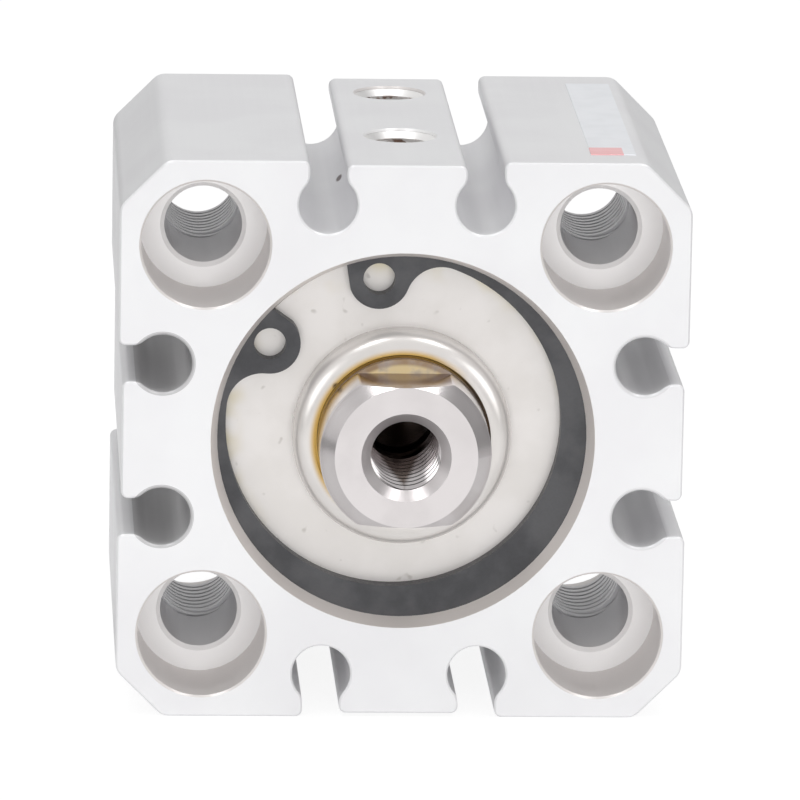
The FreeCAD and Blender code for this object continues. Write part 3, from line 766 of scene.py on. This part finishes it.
world = bpy.data.worlds.new("tent")
bpy.context.scene.world = world
world.use_nodes = True
outlook = add_node(world.node_tree, "ShaderNodeTexCoord", {}).outputs["Generated"]
outlook = add_node(world.node_tree, "ShaderNodeSeparateXYZ", {"Vector": outlook}).outputs
path = add_node(world.node_tree, "ShaderNodeLightPath", {}).outputs
left_end = stretch(world, path["Is Diffuse Ray"], whole, (left_light, left_fill))
right_end = stretch(world, path["Is Diffuse Ray"], whole, (right_light, right_fill))
to_left = stretch(world, outlook["X"], left_span, (left_end, back_light))
to_right = stretch(world, outlook["X"], right_span, (back_light, right_end))
tent_light = stretch(world, outlook["Y"], front_to_back, (front_light, back_light))
tent_light = number_math(world, "MINIMUM", tent_light, number_math(world, "MINIMUM", to_left, to_right))
either_side = number_math(world, "ABSOLUTE", outlook["X"])
either_side = add_node(
    world.node_tree, "ShaderNodeCombineXYZ", {"X": either_side, "Y": outlook["Y"], "Z": outlook["Z"]})
window = vector_math(world, "DOT_PRODUCT", either_side.outputs["Vector"], window_way)
window = stretch(world, window, window_span, (0.0, window_light))
window = product(world, window, path["Is Glossy Ray"])
tent_light = number_math(world, "MAXIMUM", tent_light, window)
tent_light = number_math(world, "MAXIMUM", tent_light, path["Is Camera Ray"])
backdrop = world.node_tree.nodes["Background"]
backdrop.inputs["Color"].default_value = tent_white
world.node_tree.links.new(tent_light, backdrop.inputs["Strength"])

# Lamps: two soft panels hang in the tent's roof, and a low wide one stands across its front.
# Bright metal mirrors the panels in the roof, and not the front one.
roof_lamp_size = (0.11, 0.20)
roof_lamp_power = 0.45
left_lamp_place = (-0.20, -0.14, 0.56)
right_lamp_place = (0.22, -0.13, 0.56)
front_lamp_size = (0.60, 0.10)
front_lamp_power = 3.4
front_lamp_place = (0, -0.80, 0.05)


def hang_lamp(name, place, size, power, mirrored):
    """A soft lamp panel of the tent that faces the cylinder, and that bright metal mirrors or not."""
    lamp = bpy.data.lights.new(name, "AREA")
    lamp.shape = "RECTANGLE"
    lamp.size, lamp.size_y = size
    lamp.energy = power
    panel = bpy.data.objects.new(name, lamp)
    panel.location = place
    panel.rotation_euler = (-Vector(place)).to_track_quat("-Z", "Y").to_euler()
    panel.visible_glossy = mirrored
    bpy.context.scene.collection.objects.link(panel)


hang_lamp("left_roof_lamp", left_lamp_place, roof_lamp_size, roof_lamp_power, True)
hang_lamp("right_roof_lamp", right_lamp_place, roof_lamp_size, roof_lamp_power, True)
hang_lamp("front_lamp", front_lamp_place, front_lamp_size, front_lamp_power, False)

# Camera: it stands a little to the left of the rod and above it, far off with a long lens.
# It aims just above the rod's axis and leans by one degree.
camera_azimuth = math.radians(-3.075)
camera_elevation = math.radians(13.269)
camera_roll = math.radians(1.023)
camera_distance = 574.158 * mm
camera_target = Vector((-0.263, 0, 3.001)) * mm
camera_lens = 368.3

camera_data = bpy.data.cameras.new("camera")
camera_data.lens = camera_lens
camera = bpy.data.objects.new("camera", camera_data)
camera.location = camera_distance * Vector((
    math.sin(camera_azimuth) * math.cos(camera_elevation),
    -math.cos(camera_azimuth) * math.cos(camera_elevation),
    math.sin(camera_elevation)))
aim = (camera_target - camera.location).to_track_quat("-Z", "Y").to_matrix()
camera.rotation_euler = (aim @ Matrix.Rotation(camera_roll, 3, "Z")).to_euler()
bpy.context.scene.collection.objects.link(camera)
bpy.context.scene.camera = camera
bpy.context.scene.view_settings.view_transform = "Standard"
